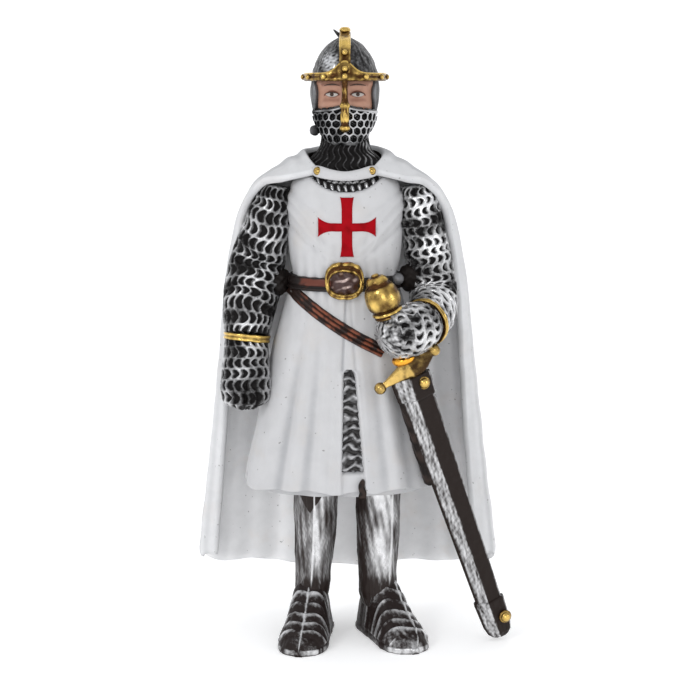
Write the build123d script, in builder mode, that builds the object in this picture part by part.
"""Painted miniature figure: a standing medieval knight, cast in separate pieces that are pegged and glued.

Millimetres, +Z up. The figure faces -Y. The origin is on the ground, at the middle of the bounding box.
Left and right in names are the knight's own, so his right arm is on the -X side.
"""

import math
import os

from build123d import *

os.makedirs("parts", exist_ok=True)

# ---------------------------------------------------------------- driving dimensions
MID = -0.65  # X of the knight's own middle plane
HEM_Z = 23.6  # lower edge of the surcoat
TUNIC_HEM_Z = 22.6
TUNIC_TOP_Z = 25.4
BELT_LOW_Z, BELT_HIGH_Z = 52.9, 55.1
BODY_TOP_Z = 70.0
CHIN_Z = 73.3
BROW_LOW_Z, BROW_HIGH_Z = 82.3, 83.5
BOWL_BASE_Z = 82.5
BOWL_TOP_Z = 88.7
FIGURE_TOP_Z = 90.0
ANKLE_Z = 6.6
SOLE_CUT = 0.4  # how far below the ground the foot's sections start, before the sole is cut flat

SURCOAT_WALL = 1.2
HOOD_WALL = 0.8
VEIL_TOP_Z = 78.6
FACE_WINDOW_HALF = 3.9
CLOTH = 1.1  # thickness of the cast cloak
STRAP_RELIEF = 0.75  # how far the belt and the sword sling stand out from the surcoat
CROSS_RELIEF = 0.3

PEG_GAP = 0.05  # glue gap round each peg, on the radius
NECK_PEG_R = 1.6
HELMET_PEG_R = 1.6
SHOULDER_PEG_R = 1.2
WRIST_PEG_R = 1.2
LEG_PEG_R = 1.4
ANKLE_PEG_R = 1.0
CLOAK_PEG_R = 1.0
CLOAK_PEG_HEIGHTS = (62.0, 50.0)
SHOULDER_Z = 63.5
SHOULDER_Y = -0.2

# The sword's axis, from the middle of the pommel to the tip of the scabbard. Places along it are
# distances from the pommel's middle.
SWORD_TOP = Vector(4.7, -12.1, 52.1)
SWORD_TIP = Vector(22.6, -4.6, 0.62)
GUARD_AT = 10.9
THROAT_AT = 12.0
THROAT_END = 15.4
CHAPE_AT = 48.9
SWORD_LENGTH = (SWORD_TIP - SWORD_TOP).length
GRIP_R = 1.1
TANG_R = 0.55

# Body sections: height, middle X, half width, depth in front of Y = 0, depth behind it.
SURCOAT_SECTIONS = [
    (HEM_Z, -1.5, 13.9, 9.7, 8.2),
    (30.0, -1.35, 12.9, 9.5, 7.8),
    (38.0, -1.1, 11.5, 9.0, 7.2),
    (46.0, -0.9, 9.9, 8.4, 6.5),
    (51.5, -0.75, 8.4, 7.8, 5.9),
    (54.0, MID, 7.7, 7.5, 5.7),
    (57.0, MID, 8.1, 7.8, 5.8),
    (62.0, MID, 8.5, 7.9, 6.2),
    (66.0, MID, 8.3, 7.3, 6.0),
    (68.6, MID, 7.2, 6.4, 5.2),
    (BODY_TOP_Z, MID, 5.4, 5.5, 4.6),
]

# Head sections: height, Y of the middle, half width, half depth.
HEAD_SECTIONS = [
    (CHIN_Z, -3.2, 1.4, 1.5),
    (74.3, -2.7, 2.7, 3.0),
    (75.8, -1.7, 3.7, 4.5),
    (77.3, -1.1, 4.35, 5.4),
    (79.0, -0.8, 4.8, 5.9),
    (81.0, -0.7, 5.0, 6.0),
    (BOWL_BASE_Z, -0.7, 4.7, 5.7),
]
NECK_SECTIONS = [
    (68.4, -0.6, 4.5, 4.6),
    (70.0, -0.8, 4.1, 4.3),
    (72.0, -0.9, 3.5, 3.9),
    (75.5, -0.7, 3.3, 3.7),
]
HEAD_Y = -0.7
BOWL_SECTIONS = [
    (BOWL_BASE_Z, 4.85, 5.85),
    (84.0, 4.6, 5.55),
    (85.4, 4.15, 4.95),
    (86.8, 3.3, 3.95),
    (88.0, 1.9, 2.3),
    (BOWL_TOP_Z, 0.5, 0.6),
]
BROW_BAND_X, BROW_BAND_Y = 6.0, 6.85  # half width and half depth of the band round the helmet
PEAK_Y = -6.3  # front of the point that the band rises to over the nose
CREST_WIDTH = 1.45
CREST_RELIEF = 0.65
NASAL_WIDTH = 1.25
RIVET_R = 0.42
TOGGLE_AT = (-4.95, -2.2, 75.3)
TOGGLE_PROFILE = [(0, -0.75), (0.45, -0.65), (0.72, -0.2), (0.7, 0.3), (0.38, 0.62), (0.38, 1.4), (0, 1.4)]
FINIAL_PROFILE = [(0, -1.3), (0.42, -1.3), (0.42, -0.85), (0.66, -0.7), (0.74, -0.4), (0.5, -0.08), (0, 0)]
CUFF_R = 3.45
GUARD_BALL_R = 0.85
GUARD_LINE = Vector(7.6, 0.6, 5.4).normalized()

# Arm sections: place and radius, from the shoulder to the wrist.
RIGHT_ARM = [
    ((-10.5, -0.3, 67.2), 1.5),
    ((-10.9, -0.3, 65.4), 2.8),
    ((-11.9, -0.3, 61.3), 3.4),
    ((-13.4, 0.2, 56.5), 3.8),
    ((-14.3, -0.4, 52.0), 3.95),
    ((-14.8, -1.7, 48.6), 3.55),
    ((-15.0, -2.8, 45.3), 3.05),
]
CUFF_HEIGHT = 1.2
RIGHT_CUFF = (-15.0, -2.7, 45.9)  # X, Y and top of the gold cuff
# Mitten sections: height, Y of the middle, half width, half depth.
RIGHT_MITTEN_X = -15.1
RIGHT_MITTEN = [
    (44.7, -2.9, 3.0, 2.8),
    (43.0, -3.3, 3.1, 2.8),
    (40.0, -3.9, 3.45, 3.0),
    (37.5, -4.2, 3.4, 2.9),
    (35.9, -4.2, 2.7, 2.2),
    (35.2, -4.1, 1.5, 1.2),
]
LEFT_ARM = [
    ((9.6, -0.2, 67.4), 1.7),
    ((9.9, -0.2, 65.4), 2.8),
    ((10.8, -0.2, 60.5), 3.0),
    ((11.8, -0.4, 55.5), 3.2),
    ((12.3, -1.6, 51.2), 3.3),
    ((12.0, -4.8, 49.0), 3.2),
    ((10.7, -8.0, 48.1), 2.95),
]
LEFT_HAND = [
    ((10.7, -8.0, 48.1), 2.95),
    ((9.2, -9.8, 47.7), 3.5),
    ((7.4, -11.1, 47.3), 3.7),
    ((5.5, -11.9, 46.9), 3.1),
    ((4.3, -12.4, 46.6), 1.7),
]

# Leg sections: height, X and Y of the middle, half width, half depth.
RIGHT_LEG = [
    (TUNIC_HEM_Z, -5.0, -0.3, 3.3, 3.6),
    (18.0, -5.05, -0.1, 3.2, 3.5),
    (13.0, -5.25, -0.3, 2.9, 3.2),
    (9.0, -5.5, -0.8, 2.6, 2.9),
    (ANKLE_Z, -5.6, -1.1, 2.7, 3.0),
]
LEFT_LEG = [
    (TUNIC_HEM_Z, 4.3, -0.3, 3.3, 3.6),
    (18.0, 4.3, -0.1, 3.25, 3.5),
    (13.0, 4.25, -0.3, 3.05, 3.2),
    (9.0, 4.2, -0.8, 2.8, 2.9),
    (ANKLE_Z, 4.2, -1.1, 2.9, 3.0),
]
# Foot sections: distance from the heel, half width, height.
FOOT_SECTIONS = [
    (0.0, 1.3, 3.6),
    (1.2, 2.3, 6.2),
    (4.0, 2.9, 6.7),
    (6.8, 3.1, 6.3),
    (9.6, 3.5, 4.6),
    (12.4, 3.6, 3.4),
    (14.8, 2.9, 2.5),
    (16.4, 1.3, 1.6),
]
# Place of each heel, and degrees that the toes turn from straight ahead.
RIGHT_HEEL, RIGHT_TURN = (-5.3, 3.7), -8.0
LEFT_HEEL, LEFT_TURN = (3.6, 3.7), 20.0

# Cloak rows from the collar to the hem. Each runs from its front edge round to the middle of the back:
# (distance out from the middle plane, Y, Z).
CLOAK_ROWS = [
    [(4.0, -6.2, 70.1), (5.9, -3.0, 71.5), (6.0, 1.2, 72.5), (3.7, 4.9, 72.8), (0, 5.9, 72.9)],
    [(6.2, -5.6, 69.4), (7.9, -2.6, 70.7), (8.1, 2.2, 71.2), (4.9, 6.4, 71.2), (0, 7.4, 71.2)],
    [(8.6, -4.6, 68.9), (10.4, -1.8, 69.5), (10.5, 3.0, 69.4), (6.0, 7.6, 69.3), (0, 8.5, 69.2)],
    [(11.8, -3.2, 68.3), (13.1, -0.6, 67.8), (12.6, 4.0, 67.3), (7.2, 8.4, 67.0), (0, 9.2, 66.8)],
    [(14.4, -1.6, 65.3), (15.2, 1.0, 64.6), (13.9, 5.4, 64.0), (8.0, 9.0, 63.6), (0, 9.7, 63.4)],
    [(16.1, 0.2, 60.4), (16.8, 2.6, 59.6), (14.7, 7.0, 58.9), (8.6, 9.8, 58.4), (0, 10.2, 58.2)],
    [(17.9, 2.0, 51.5), (18.3, 4.2, 50.6), (15.6, 8.2, 49.8), (9.2, 10.8, 49.4), (0, 10.8, 49.2)],
    [(19.2, 3.6, 40.5), (19.5, 5.8, 39.5), (16.5, 9.4, 38.6), (9.7, 11.8, 38.2), (0, 11.4, 38.0)],
    [(20.8, 4.8, 27.5), (21.1, 7.0, 26.4), (17.8, 10.6, 25.2), (10.5, 12.9, 24.6), (0, 12.0, 24.2)],
    [(22.9, 5.6, 10.4), (23.2, 8.3, 9.4), (19.3, 11.9, 8.0), (11.2, 14.2, 7.2), (0, 12.9, 6.8)],
]
CLASP_R = 0.6
CLASPS = [(-4.45, -6.5, 69.7), (3.1, -6.5, 69.7)]
STRAP_DIP = (MID, -7.5, 69.0)

BUCKLE_AT = (-0.7, 54.2)  # X and Z of the buckle's middle
BUCKLE_WIDTH, BUCKLE_HEIGHT, BUCKLE_BAR = 6.0, 5.4, 0.8
BELT_STUD = (7.0, -6.1, 54.3)
SLING_START, SLING_END = (-8.6, 52.6), (4.6, 44.1)  # X and Z of the sling strap's two ends
SLING_WIDTH = 2.0
CROSS_MIDDLE = (-0.35, 61.8)
CROSS_HALF_WIDTH, CROSS_HALF_HEIGHT = 4.2, 4.3
CROSS_UPRIGHT, CROSS_BEAM, CROSS_FLARE = 0.85, 0.6, 1.45  # half widths of the bars, and of their ends
SLIT_TOP = (-0.05, 41.5)
NECKLINE = [(-5.9, 71.5), (-5.2, 68.6), (-3.4, 67.2), (-0.5, 66.7), (2.3, 67.2), (4.0, 68.6), (4.7, 71.5)]


# ---------------------------------------------------------------- helpers
def body_section(middle_x, half_width, front, back, grow):
    """Points round one body section: a rounded oval with its own depth in front and behind."""
    count = 16
    power = 2 / 2.3  # slightly squarer than an ellipse
    points = []
    for step in range(count):
        angle = 2 * math.pi * step / count
        across = math.copysign(abs(math.cos(angle)) ** power, math.cos(angle))
        deep = math.copysign(abs(math.sin(angle)) ** power, math.sin(angle))
        depth = (back if deep > 0 else front) + grow
        points.append((middle_x + (half_width + grow) * across, depth * deep))
    return points


def body_shape(grow):
    """The outside of the surcoat as one solid, grown outward or shrunk inward."""
    with BuildPart() as shape:
        for z, middle_x, half_width, front, back in SURCOAT_SECTIONS:
            with BuildSketch(Plane.XY.offset(z)):
                with BuildLine():
                    Spline(*body_section(middle_x, half_width, front, back, grow), periodic=True)
                make_face()
        loft()
    return shape.part


def oval_shape(sections, grow=0.0):
    """A solid through level ovals, each (height, X, Y, half width, half depth)."""
    with BuildPart() as shape:
        for z, x, y, half_width, half_depth in sections:
            with BuildSketch(Plane(origin=(x, y, z))):
                Ellipse(half_width + grow, half_depth + grow)
        loft()
    return shape.part


def head_shape(grow):
    """The mail hood's outside as one solid, grown outward or shrunk inward."""
    return oval_shape([(z, MID, y, width, depth) for z, y, width, depth in HEAD_SECTIONS], grow)


def bowl_shape(grow):
    """The helmet bowl's outside as one solid, grown outward."""
    sections = [(z + (grow if z > BOWL_BASE_Z else 0), MID, HEAD_Y, w, d) for z, w, d in BOWL_SECTIONS]
    return oval_shape(sections, grow)


def front_prism(outline, front_y, back_y):
    """A prism seen from the front: (X, Z) points, from its front face to its back face."""
    with BuildPart() as prism:
        with BuildSketch(Plane.XZ.offset(-back_y)):
            with BuildLine():
                Polyline(*outline, close=True)
            make_face()
        extrude(amount=back_y - front_y)
    return prism.part


def level_slab(low_z, high_z):
    """A slab right across the figure between two heights."""
    with BuildPart() as slab:
        with BuildSketch(Plane.XY.offset(low_z)):
            Rectangle(80, 80)
        extrude(amount=high_z - low_z)
    return slab.part


def peg(radius, start, end):
    """A plain round peg from one place to another."""
    start, end = Vector(*start), Vector(*end)
    with BuildPart() as rod:
        with BuildSketch(Plane(origin=start, z_dir=end - start)):
            Circle(radius)
        extrude(amount=(end - start).length)
    return rod.part


def tube_shape(stations):
    """A limb: a solid through round sections, each square to the line between its neighbours."""
    last = len(stations) - 1
    with BuildPart() as tube:
        for i, (place, radius) in enumerate(stations):
            before = Vector(*stations[max(i - 1, 0)][0])
            after = Vector(*stations[min(i + 1, last)][0])
            along = (after - before).normalized()
            across = Vector(0, 1, 0).cross(along).normalized()
            with BuildSketch(Plane(origin=place, x_dir=across, z_dir=along)):
                Circle(radius)
        loft()
    return tube.part


def sword_plane(distance):
    """A plane across the sword. Its X runs across the flat side and its Y points at the knight."""
    along = (SWORD_TIP - SWORD_TOP).normalized()
    across = along.cross(Vector(0, -1, 0)).normalized()
    return Plane(origin=SWORD_TOP + along * distance, x_dir=across, z_dir=along)


def blade_shape(sections):
    """A solid through six-sided sections with a ridge in front: (distance, half width, ridge, back)."""
    edge = 0.4
    with BuildPart() as shape:
        for distance, half_width, ridge, back in sections:
            with BuildSketch(sword_plane(distance)):
                with BuildLine():
                    Polyline(
                        (-half_width, -edge),
                        (0, -ridge),
                        (half_width, -edge),
                        (half_width, edge),
                        (0, back),
                        (-half_width, edge),
                        close=True,
                    )
                make_face()
        loft(ruled=True)
    return shape.part


def turned(origin, along, profile):
    """A solid turned on an axis, from (radius, distance along the axis) points."""
    origin, along = Vector(*origin), Vector(*along).normalized()
    radial = along.cross(Vector(0, -1, 0)).normalized()
    with BuildPart() as shape:
        with BuildSketch(Plane(origin=origin, x_dir=radial, z_dir=radial.cross(along))):
            with BuildLine():
                Polyline(*profile, close=True)
            make_face()
        revolve(axis=Axis(origin, along))
    return shape.part


def turned_on_sword(profile):
    """A solid turned on the sword's axis, from (radius, distance from the pommel's middle) points."""
    return turned(SWORD_TOP, SWORD_TIP - SWORD_TOP, profile)


def foot_shape(heel, turn):
    """A foot: arched upright sections, flat underneath, from the heel to the toe."""
    angle = math.radians(turn)
    forward = Vector(math.sin(angle), -math.cos(angle), 0)
    with BuildPart() as foot:
        for distance, half_width, height in FOOT_SECTIONS:
            place = Vector(heel[0], heel[1], 0) + forward * distance
            with BuildSketch(Plane(origin=place, x_dir=(math.cos(angle), math.sin(angle), 0), z_dir=forward)):
                with BuildLine():
                    Spline(
                        (-half_width, -SOLE_CUT),
                        (-half_width * 0.93, height * 0.45),
                        (-half_width * 0.5, height * 0.86),
                        (0, height),
                        (half_width * 0.5, height * 0.86),
                        (half_width * 0.93, height * 0.45),
                        (half_width, -SOLE_CUT),
                    )
                    Line((half_width, -SOLE_CUT), (-half_width, -SOLE_CUT))
                make_face()
        loft()
        # The sole is cut flat on the ground.
        with BuildSketch(Plane.XY):
            Rectangle(80, 80)
        extrude(amount=20, mode=Mode.INTERSECT)
    return foot.part


def balls(places, radius):
    """Several balls of one size."""
    with BuildPart() as group:
        with Locations(*places):
            Sphere(radius)
    return group.part


def keep(builder, name):
    """Labels a finished piece and writes its STEP file."""
    builder.part.label = name
    export_step(builder.part, f"parts/{name}.step")


# ---------------------------------------------------------------- shapes that several pieces share
surcoat_outside = body_shape(0)
body_core = body_shape(-SURCOAT_WALL)
head_outside = head_shape(0)
head_core = head_shape(-HOOD_WALL)
bowl_outside = bowl_shape(0)
neckline = front_prism(NECKLINE, -14, 0)

cloak_points = [
    [(MID - out, y, z) for out, y, z in row] + [(MID + out, y, z) for out, y, z in reversed(row[:-1])]
    for row in CLOAK_ROWS
]
cloak_vectors = [[Vector(*place) for place in row] for row in cloak_points]
cloak_surface = Face.make_surface_from_array_of_points(cloak_vectors)

shoulder_pegs = [
    ((-9.6, SHOULDER_Y, SHOULDER_Z), (-6.0, SHOULDER_Y, SHOULDER_Z)),
    ((8.6, SHOULDER_Y, SHOULDER_Z), (4.8, SHOULDER_Y, SHOULDER_Z)),
]
neck_peg = ((MID, HEAD_Y, 66.0), (MID, HEAD_Y, 77.5))
helmet_peg = ((MID, HEAD_Y, BOWL_BASE_Z), (MID, HEAD_Y, BOWL_BASE_Z + 2.6))
leg_pegs = [((x, -0.3, TUNIC_HEM_Z), (x, -0.3, TUNIC_TOP_Z + 2.4)) for x in (RIGHT_LEG[0][1], LEFT_LEG[0][1])]
cloak_pegs = [((MID, 3.4, z), (MID, 9.0, z)) for z in CLOAK_PEG_HEIGHTS]


# ---------------------------------------------------------------- cloak
with BuildPart() as cloak:
    add(Solid.thicken(cloak_surface, CLOTH))
    for start, end in cloak_pegs:
        add(peg(CLOAK_PEG_R, start, (end[0], end[1] + 0.6, end[2])))
keep(cloak, "cloak")

# ---------------------------------------------------------------- legs and feet
greaves = {}
for side, leg, leg_peg in (("right", RIGHT_LEG, leg_pegs[0]), ("left", LEFT_LEG, leg_pegs[1])):
    ankle_x, ankle_y = leg[-1][1], leg[-1][2]
    with BuildPart() as greave:
        add(oval_shape(leg))
        add(peg(LEG_PEG_R, *leg_peg))
        add(peg(ANKLE_PEG_R, (ankle_x, ankle_y, ANKLE_Z), (ankle_x, ankle_y, ANKLE_Z - 2.6)))
    keep(greave, f"{side}_greave")
    greaves[side] = greave.part

for side, heel, turn in (("right", RIGHT_HEEL, RIGHT_TURN), ("left", LEFT_HEEL, LEFT_TURN)):
    leg = RIGHT_LEG if side == "right" else LEFT_LEG
    ankle_x, ankle_y = leg[-1][1], leg[-1][2]
    with BuildPart() as sabaton:
        add(foot_shape(heel, turn))
        add(oval_shape(leg), mode=Mode.SUBTRACT)
        hole_top, hole_foot = (ankle_x, ankle_y, ANKLE_Z + 1), (ankle_x, ankle_y, ANKLE_Z - 2.7)
        ankle_hole = peg(ANKLE_PEG_R + PEG_GAP, hole_top, hole_foot)
        add(ankle_hole, mode=Mode.SUBTRACT)
    keep(sabaton, f"{side}_sabaton")

# ---------------------------------------------------------------- body
body_holes = [peg(SHOULDER_PEG_R + PEG_GAP, *ends) for ends in shoulder_pegs]
body_holes += [peg(CLOAK_PEG_R + PEG_GAP, (x, y - 0.1, z), end) for (x, y, z), end in cloak_pegs]
for (peg_x, peg_y, peg_foot), (_, _, peg_top) in leg_pegs:
    body_holes.append(peg(LEG_PEG_R + PEG_GAP, (peg_x, peg_y, peg_foot - 1), (peg_x, peg_y, peg_top + 0.1)))
body_holes.append(peg(NECK_PEG_R + PEG_GAP, (MID, HEAD_Y, neck_peg[0][2] - 0.1), (MID, HEAD_Y, 72)))

neck_outside = oval_shape([(z, MID, y, width, depth) for z, y, width, depth in NECK_SECTIONS])

with BuildPart() as hauberk:
    add(body_core)
    add(level_slab(TUNIC_TOP_Z, 68.4), mode=Mode.INTERSECT)
    add(body_holes, mode=Mode.SUBTRACT)
keep(hauberk, "hauberk")

with BuildPart() as under_tunic:
    _, middle_x, half_width, front, back = SURCOAT_SECTIONS[0]
    with BuildSketch(Plane.XY.offset(TUNIC_HEM_Z)):
        with BuildLine():
            Spline(*body_section(middle_x, half_width, front, back, -SURCOAT_WALL - 0.3), periodic=True)
        make_face()
    extrude(amount=TUNIC_TOP_Z - TUNIC_HEM_Z)
    add(body_holes, mode=Mode.SUBTRACT)
keep(under_tunic, "under_tunic")

slit_half_top, slit_half_foot = 0.45, 1.6
slit = front_prism(
    [
        (SLIT_TOP[0] - slit_half_top, SLIT_TOP[1] - 0.6),
        (SLIT_TOP[0], SLIT_TOP[1]),
        (SLIT_TOP[0] + slit_half_top, SLIT_TOP[1] - 0.6),
        (0.5 + slit_half_foot, 26.7),
        (0.5 + slit_half_foot, HEM_Z - 1),
        (0.5 - slit_half_foot, HEM_Z - 1),
        (0.5 - slit_half_foot, 26.7),
    ],
    -14,
    0,
)

with BuildPart() as surcoat:
    add(surcoat_outside)
    add(body_core, mode=Mode.SUBTRACT)
    add(under_tunic.part, mode=Mode.SUBTRACT)
    add(slit, mode=Mode.SUBTRACT)
    add(neckline, mode=Mode.SUBTRACT)
    add(neck_outside, mode=Mode.SUBTRACT)
    add(body_holes, mode=Mode.SUBTRACT)
    add(cloak.part, mode=Mode.SUBTRACT)
keep(surcoat, "surcoat")

with BuildPart() as mail_collar:
    add(surcoat_outside)
    add(neckline, mode=Mode.INTERSECT)
    add(body_core, mode=Mode.SUBTRACT)
    add(neck_outside, mode=Mode.SUBTRACT)
    add(body_holes, mode=Mode.SUBTRACT)
    add(cloak.part, mode=Mode.SUBTRACT)
keep(mail_collar, "mail_collar")

# ---------------------------------------------------------------- cloak strap and clasps
with BuildPart() as cloak_strap:
    left_end, right_end = CLASPS
    with BuildLine() as strap_line:
        ThreePointArc(left_end, STRAP_DIP, right_end)
    with BuildSketch(Plane(origin=left_end, x_dir=(0, 0, 1), z_dir=strap_line.line % 0)):
        Rectangle(1.25, 0.7)
    sweep()
    add(cloak.part, mode=Mode.SUBTRACT)
    add(surcoat_outside, mode=Mode.SUBTRACT)
    add(neck_outside, mode=Mode.SUBTRACT)
keep(cloak_strap, "cloak_strap")

with BuildPart() as cloak_clasps:
    add(balls([(x, y - 0.35, z) for x, y, z in CLASPS], CLASP_R))
    add(cloak_strap.part, mode=Mode.SUBTRACT)
    add(cloak.part, mode=Mode.SUBTRACT)
keep(cloak_clasps, "cloak_clasps")

# ---------------------------------------------------------------- belt, sling and cross
relief_shape = body_shape(STRAP_RELIEF)

with BuildPart() as waist_belt:
    add(relief_shape)
    add(level_slab(BELT_LOW_Z, BELT_HIGH_Z), mode=Mode.INTERSECT)
    add(surcoat_outside, mode=Mode.SUBTRACT)
keep(waist_belt, "waist_belt")

sling_run = Vector(SLING_END[0] - SLING_START[0], SLING_END[1] - SLING_START[1])
sling_side = Vector(-sling_run.Y, sling_run.X).normalized() * (SLING_WIDTH / 2)
sling_outline = [
    (SLING_START[0] + sling_side.X, SLING_START[1] + sling_side.Y),
    (SLING_END[0] + sling_side.X, SLING_END[1] + sling_side.Y),
    (SLING_END[0] - sling_side.X, SLING_END[1] - sling_side.Y),
    (SLING_START[0] - sling_side.X, SLING_START[1] - sling_side.Y),
]
with BuildPart() as sword_sling:
    add(relief_shape)
    add(front_prism(sling_outline, -14, 0), mode=Mode.INTERSECT)
    add(surcoat_outside, mode=Mode.SUBTRACT)
    add(waist_belt.part, mode=Mode.SUBTRACT)
keep(sword_sling, "sword_sling")

with BuildPart() as belt_buckle:
    with BuildSketch(Plane.XZ.offset(7.4)):
        with Locations(BUCKLE_AT):
            RectangleRounded(BUCKLE_WIDTH, BUCKLE_HEIGHT, 2.1)
            inner_size = (BUCKLE_WIDTH - 2 * BUCKLE_BAR, BUCKLE_HEIGHT - 2 * BUCKLE_BAR)
            RectangleRounded(*inner_size, 1.4, mode=Mode.SUBTRACT)
            Rectangle(BUCKLE_BAR, BUCKLE_HEIGHT - BUCKLE_BAR)
    extrude(amount=1.7)
    add(surcoat_outside, mode=Mode.SUBTRACT)
    add(waist_belt.part, mode=Mode.SUBTRACT)
    add(sword_sling.part, mode=Mode.SUBTRACT)
keep(belt_buckle, "belt_buckle")

with BuildPart() as belt_stud:
    add(balls([BELT_STUD], 0.8))
    add(relief_shape, mode=Mode.SUBTRACT)
keep(belt_stud, "belt_stud")

with BuildPart() as chest_cross:
    with BuildSketch(Plane.XZ):
        with Locations(CROSS_MIDDLE):
            for turn, half_length, half_bar in (
                (0, CROSS_HALF_WIDTH, CROSS_BEAM),
                (90, CROSS_HALF_HEIGHT, CROSS_UPRIGHT),
                (180, CROSS_HALF_WIDTH, CROSS_BEAM),
                (270, CROSS_HALF_HEIGHT, CROSS_UPRIGHT),
            ):
                Polygon(
                    (0, -half_bar),
                    (half_length * 0.55, -half_bar),
                    (half_length, -CROSS_FLARE),
                    (half_length, CROSS_FLARE),
                    (half_length * 0.55, half_bar),
                    (0, half_bar),
                    rotation=turn,
                    align=None,
                )
    extrude(amount=14)
    add(body_shape(CROSS_RELIEF), mode=Mode.INTERSECT)
    add(surcoat_outside, mode=Mode.SUBTRACT)
keep(chest_cross, "chest_cross")

# ---------------------------------------------------------------- head
with BuildPart() as face:
    add(head_core)
    add(level_slab(74.0, BOWL_BASE_Z), mode=Mode.INTERSECT)
    add(peg(HELMET_PEG_R, *helmet_peg))
    add(peg(NECK_PEG_R + PEG_GAP, (MID, HEAD_Y, 70), (MID, HEAD_Y, neck_peg[1][2] + 0.1)), mode=Mode.SUBTRACT)
keep(face, "face")

veil_top = [(4.7, VEIL_TOP_Z), (MID + 0.9, 79.1), (MID - 0.9, 79.1), (-6, VEIL_TOP_Z)]
veil_outline = [(-6, 72), (4.7, 72), *veil_top]
veil_window = front_prism(veil_outline, -12, -2.6)
window_left, window_right = MID - FACE_WINDOW_HALF, MID + FACE_WINDOW_HALF
window_outline = [(window_left, 78.0), (window_right, 78.0), (window_right, 84), (window_left, 84)]
face_window = front_prism(window_outline, -12, -2.6)

with BuildPart() as ventail_toggle:
    add(turned(TOGGLE_AT, (1, 0, 0), TOGGLE_PROFILE))
keep(ventail_toggle, "ventail_toggle")

with BuildPart() as face_veil:
    add(head_outside)
    add(veil_window, mode=Mode.INTERSECT)
    add(head_core, mode=Mode.SUBTRACT)
    add(ventail_toggle.part, mode=Mode.SUBTRACT)
keep(face_veil, "face_veil")

with BuildPart() as coif_hood:
    add(head_outside)
    add(head_core, mode=Mode.SUBTRACT)
    add(veil_window, mode=Mode.SUBTRACT)
    add(face_window, mode=Mode.SUBTRACT)
    add(neck_outside, mode=Mode.SUBTRACT)
    add(ventail_toggle.part, mode=Mode.SUBTRACT)
keep(coif_hood, "coif_hood")

with BuildPart() as coif_neck:
    add(neck_outside)
    add(head_outside, mode=Mode.SUBTRACT)
    add(cloak_strap.part, mode=Mode.SUBTRACT)
    add(peg(NECK_PEG_R, *neck_peg))
keep(coif_neck, "coif_neck")

with BuildPart() as brow_band:
    with BuildSketch(Plane(origin=(MID, HEAD_Y, BROW_LOW_Z))):
        Ellipse(BROW_BAND_X, BROW_BAND_Y)
    extrude(amount=BROW_HIGH_Z - BROW_LOW_Z)
    # The band rises to a low point over the nose.
    with BuildSketch(Plane.XZ.offset(-PEAK_Y - 0.8)):
        with BuildLine():
            peak_foot, peak_top = BROW_HIGH_Z - 0.1, BROW_HIGH_Z + 1.5
            Polyline((MID - 2.6, peak_foot), (MID, peak_top), (MID + 2.6, peak_foot), close=True)
        make_face()
    extrude(amount=0.8)
    add(bowl_outside, mode=Mode.SUBTRACT)
    add(head_outside, mode=Mode.SUBTRACT)
keep(brow_band, "brow_band")

with BuildPart() as crest_finial:
    add(turned((MID, HEAD_Y, FIGURE_TOP_Z), (0, 0, 1), FINIAL_PROFILE))
keep(crest_finial, "crest_finial")

with BuildPart() as helmet_bowl:
    add(bowl_outside)
    socket_foot, socket_top = (MID, HEAD_Y, BOWL_BASE_Z - 1), (MID, HEAD_Y, helmet_peg[1][2] + 0.1)
    add(peg(HELMET_PEG_R + PEG_GAP, socket_foot, socket_top), mode=Mode.SUBTRACT)
    add(crest_finial.part, mode=Mode.SUBTRACT)
keep(helmet_bowl, "helmet_bowl")

with BuildPart() as crest_band:
    add(bowl_shape(CREST_RELIEF))
    with BuildSketch(Plane.XY.offset(BOWL_BASE_Z), mode=Mode.PRIVATE) as crest_strip:
        with Locations((MID, 0)):
            Rectangle(CREST_WIDTH, 30)
    extrude(crest_strip.sketch, amount=10, mode=Mode.INTERSECT)
    add(bowl_outside, mode=Mode.SUBTRACT)
    add(brow_band.part, mode=Mode.SUBTRACT)
    add(crest_finial.part, mode=Mode.SUBTRACT)
keep(crest_band, "crest_band")

band_rivets = []
for angle in (0, 30, 60, 120, 150, 180, 210, 240, 300, 330):
    turn = math.radians(angle)
    band_middle = (BROW_LOW_Z + BROW_HIGH_Z) / 2
    place = Vector(MID + BROW_BAND_X * math.cos(turn), HEAD_Y + BROW_BAND_Y * math.sin(turn), band_middle)
    outward = Vector(math.cos(turn) / BROW_BAND_X, math.sin(turn) / BROW_BAND_Y, 0).normalized()
    band_rivets.append(peg(RIVET_R, place, place + outward * 0.3))
band_rivets.append(peg(RIVET_R, (MID, HEAD_Y - BROW_BAND_Y, 82.9), (MID, HEAD_Y - BROW_BAND_Y - 0.3, 82.9)))
band_rivets.append(peg(RIVET_R, (MID, PEAK_Y, 84.1), (MID, PEAK_Y - 0.3, 84.1)))
crest_rivets = [
    peg(RIVET_R, (MID, -4.4, 85.2), (MID, -6.3, 86.4)),
    peg(RIVET_R, (MID, 3.0, 85.2), (MID, 4.9, 86.4)),
]
with BuildPart() as helmet_rivets:
    add(crest_rivets)
    add(crest_band.part, mode=Mode.SUBTRACT)
    add(bowl_outside, mode=Mode.SUBTRACT)
    add(band_rivets)
keep(helmet_rivets, "helmet_rivets")

with BuildPart() as nasal_bar:
    with BuildSketch(Plane.YZ.offset(MID - NASAL_WIDTH / 2)):
        with BuildLine():
            nasal_side = [(-7.5, BROW_LOW_Z), (-5.6, BROW_LOW_Z), (-5.6, 75.4), (-7.0, 75.4), (-7.5, 78.2)]
            Polyline(*nasal_side, close=True)
        make_face()
    extrude(amount=NASAL_WIDTH)
    add(head_outside, mode=Mode.SUBTRACT)
    add(head_core, mode=Mode.SUBTRACT)
keep(nasal_bar, "nasal_bar")

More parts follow.
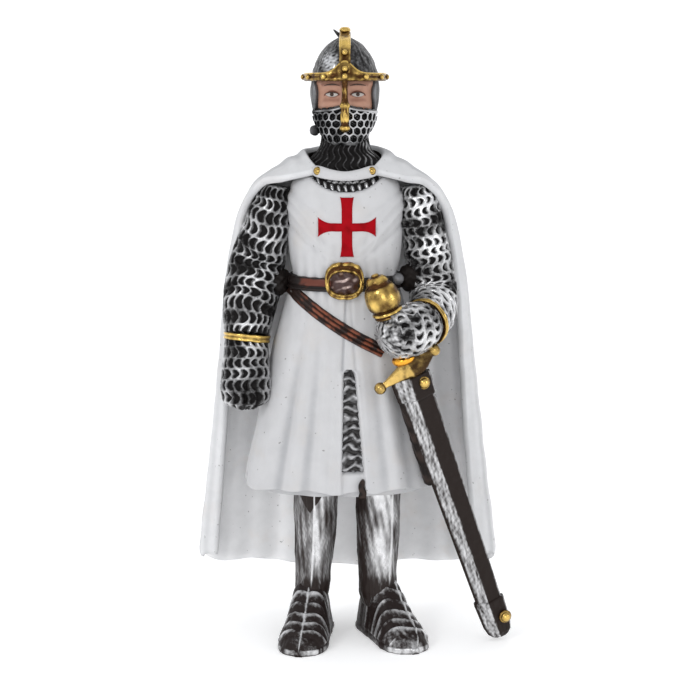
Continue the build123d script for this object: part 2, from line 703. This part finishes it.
# ---------------------------------------------------------------- sword in its scabbard
def tang_hole(start, end):
    """A hole for the tang, between two distances along the sword."""
    return peg(TANG_R + PEG_GAP, sword_plane(start).origin, sword_plane(end).origin)


with BuildPart() as scabbard:
    add(blade_shape([(THROAT_AT, 2.5, 1.5, 1.3), (30, 2.25, 1.45, 1.25), (CHAPE_AT, 1.95, 1.4, 1.2)]))
    add(tang_hole(THROAT_AT - 1, THROAT_AT + 5), mode=Mode.SUBTRACT)
    add(tang_hole(CHAPE_AT - 2.6, CHAPE_AT + 1), mode=Mode.SUBTRACT)
keep(scabbard, "scabbard")

with BuildPart() as scabbard_throat:
    add(blade_shape([(THROAT_AT, 2.85, 1.85, 1.6), (THROAT_END, 2.75, 1.8, 1.55)]))
    add(scabbard.part, mode=Mode.SUBTRACT)
    add(tang_hole(THROAT_AT - 1, THROAT_AT + 5), mode=Mode.SUBTRACT)
keep(scabbard_throat, "scabbard_throat")

with BuildPart() as chape:
    tip = SWORD_LENGTH
    chape_sections = [(CHAPE_AT, 2.25, 1.7, 1.5), (tip - 2.2, 2.1, 1.5, 1.35)]
    add(blade_shape(chape_sections + [(tip - 0.7, 1.6, 1.2, 1.1), (tip, 0.8, 0.7, 0.7)]))
    add(peg(TANG_R, sword_plane(CHAPE_AT - 2.5).origin, sword_plane(CHAPE_AT + 0.5).origin))
keep(chape, "chape")

with BuildPart() as scabbard_studs:
    for distance in (THROAT_AT + 1.3, CHAPE_AT + 2.9):
        plane = sword_plane(distance)
        add(balls([plane.origin - plane.x_dir * 1.6 - plane.y_dir * 1.1], 0.75))
    add(scabbard_throat.part, mode=Mode.SUBTRACT)
    add(scabbard.part, mode=Mode.SUBTRACT)
    add(chape.part, mode=Mode.SUBTRACT)
keep(scabbard_studs, "scabbard_studs")

web_plane = sword_plane(THROAT_AT + 1)
with BuildPart() as scabbard_web:
    with BuildSketch(web_plane):
        with Locations((1.9, 2.6)):
            Rectangle(1.8, 5.6)
    extrude(amount=15.5)
    add(surcoat_outside, mode=Mode.SUBTRACT)
    add(scabbard_throat.part, mode=Mode.SUBTRACT)
    add(scabbard.part, mode=Mode.SUBTRACT)
keep(scabbard_web, "scabbard_web")

with BuildPart() as pommel:
    add(
        turned_on_sword(
            [(0, -3.7), (0.6, -3.55), (0.9, -2.9), (0.75, -2.3), (1.5, -2.0), (2.15, -1.1), (2.3, 0)]
            + [(2.2, 0.9), (1.8, 1.5), (2.1, 1.8), (2.1, 2.4), (1.3, 2.8)]
            + [(TANG_R + PEG_GAP, 2.8), (TANG_R + PEG_GAP, -1.0), (0, -1.0)]
        )
    )
keep(pommel, "pommel")

with BuildPart() as grip:
    grip_bore = TANG_R + PEG_GAP
    add(turned_on_sword([(grip_bore, 2.8), (GRIP_R, 2.8), (1.3, 5.6), (GRIP_R, 8.7), (grip_bore, 8.7)]))
keep(grip, "grip")

with BuildPart() as grip_collar:
    add(turned_on_sword([(grip_bore, 8.7), (1.35, 8.7), (1.6, 9.2), (1.35, 9.8), (grip_bore, 9.8)]))
keep(grip_collar, "grip_collar")

with BuildPart() as sword_tang:
    add(peg(TANG_R, sword_plane(-0.9).origin, sword_plane(THROAT_AT + 4.9).origin))
keep(sword_tang, "sword_tang")

# The crossguard's bar leans away from square, so it has a plane of its own at its middle.
guard_plane = Plane(origin=sword_plane(GUARD_AT).origin, x_dir=GUARD_LINE, z_dir=(0, -1, 0.05))
guard_sections = [(-4.0, 0.35, 0.35), (-1.7, 0.8, 0.8), (0, 1.35, 1.25), (1.9, 1.3, 1.05), (3.9, 0.55, 0.6)]
with BuildPart() as crossguard:
    for along, half_height, half_depth in guard_sections:
        place = guard_plane.origin + guard_plane.x_dir * along
        with BuildSketch(Plane(origin=place, x_dir=guard_plane.y_dir, z_dir=guard_plane.x_dir)):
            Rectangle(2 * half_height, 2 * half_depth)
    loft(ruled=True)
    add(balls([guard_plane.origin + guard_plane.x_dir * along for along in (-4.7, 4.6)], GUARD_BALL_R))
    add(tang_hole(GUARD_AT - 3, GUARD_AT + 3), mode=Mode.SUBTRACT)
    add(grip.part, mode=Mode.SUBTRACT)
    add(grip_collar.part, mode=Mode.SUBTRACT)
    add(scabbard_throat.part, mode=Mode.SUBTRACT)
    add(scabbard.part, mode=Mode.SUBTRACT)
keep(crossguard, "crossguard")

# ---------------------------------------------------------------- right arm, hanging straight
cuff_x, cuff_y, cuff_top = RIGHT_CUFF
cuff_foot = cuff_top - CUFF_HEIGHT
wrist_peg = ((cuff_x, cuff_y, cuff_foot - 0.5), (cuff_x, cuff_y, cuff_top + 2.2))
wrist_hole = peg(WRIST_PEG_R + PEG_GAP, (cuff_x, cuff_y, cuff_foot - 0.1), (cuff_x, cuff_y, cuff_top + 2.3))

with BuildPart() as right_sleeve:
    add(tube_shape(RIGHT_ARM))
    add(surcoat_outside, mode=Mode.SUBTRACT)
    add(cloak.part, mode=Mode.SUBTRACT)
    add(level_slab(cuff_top - 5, cuff_top), mode=Mode.SUBTRACT)
    add(wrist_hole, mode=Mode.SUBTRACT)
    add(peg(SHOULDER_PEG_R, *shoulder_pegs[0]))
keep(right_sleeve, "right_sleeve")

with BuildPart() as right_cuff:
    with BuildSketch(Plane(origin=(cuff_x, cuff_y, cuff_foot))):
        Circle(CUFF_R)
    extrude(amount=CUFF_HEIGHT)
    add(wrist_hole, mode=Mode.SUBTRACT)
    fillet(right_cuff.edges().filter_by(GeomType.CIRCLE).sort_by(SortBy.RADIUS)[-2:], 0.3)
keep(right_cuff, "right_cuff")

with BuildPart() as right_mitten:
    add(oval_shape([(z, RIGHT_MITTEN_X, y, width, depth) for z, y, width, depth in RIGHT_MITTEN]))
    add(surcoat_outside, mode=Mode.SUBTRACT)
    add(peg(WRIST_PEG_R, *wrist_peg))
keep(right_mitten, "right_mitten")

# ---------------------------------------------------------------- left arm, bent to the sword's grip
elbow_side, knuckle_side = Vector(*LEFT_ARM[-2][0]), Vector(*LEFT_HAND[1][0])
wrist_plane = Plane(origin=LEFT_HAND[0][0], z_dir=knuckle_side - elbow_side)
wrist_hole = peg(
    WRIST_PEG_R + PEG_GAP,
    wrist_plane.origin - wrist_plane.z_dir * (CUFF_HEIGHT / 2 + 2.3),
    wrist_plane.origin + wrist_plane.z_dir * CUFF_HEIGHT,
)
cuff_near = wrist_plane.origin - wrist_plane.z_dir * CUFF_HEIGHT / 2
cuff_far = wrist_plane.origin + wrist_plane.z_dir * CUFF_HEIGHT / 2

with BuildPart() as left_sleeve:
    add(tube_shape(LEFT_ARM))
    add(surcoat_outside, mode=Mode.SUBTRACT)
    add(cloak.part, mode=Mode.SUBTRACT)
    add(peg(6, cuff_near, cuff_near + wrist_plane.z_dir * 5), mode=Mode.SUBTRACT)
    add(wrist_hole, mode=Mode.SUBTRACT)
    add(peg(SHOULDER_PEG_R, *shoulder_pegs[1]))
keep(left_sleeve, "left_sleeve")

with BuildPart() as left_cuff:
    add(peg(CUFF_R, cuff_near, cuff_far))
    add(wrist_hole, mode=Mode.SUBTRACT)
    fillet(left_cuff.edges().filter_by(GeomType.CIRCLE).sort_by(SortBy.RADIUS)[-2:], 0.3)
keep(left_cuff, "left_cuff")

with BuildPart() as left_mitten:
    add(tube_shape(LEFT_HAND))
    add(peg(6, cuff_far, cuff_far - wrist_plane.z_dir * 5), mode=Mode.SUBTRACT)
    along_wrist = wrist_plane.z_dir
    add(peg(WRIST_PEG_R, cuff_far - along_wrist * (CUFF_HEIGHT + 2.2), cuff_far + along_wrist * 0.5))
    add(peg(GRIP_R, sword_plane(0).origin, sword_plane(GUARD_AT).origin), mode=Mode.SUBTRACT)
    for neighbour in (grip, grip_collar, pommel, crossguard, scabbard_throat):
        add(neighbour.part, mode=Mode.SUBTRACT)
keep(left_mitten, "left_mitten")
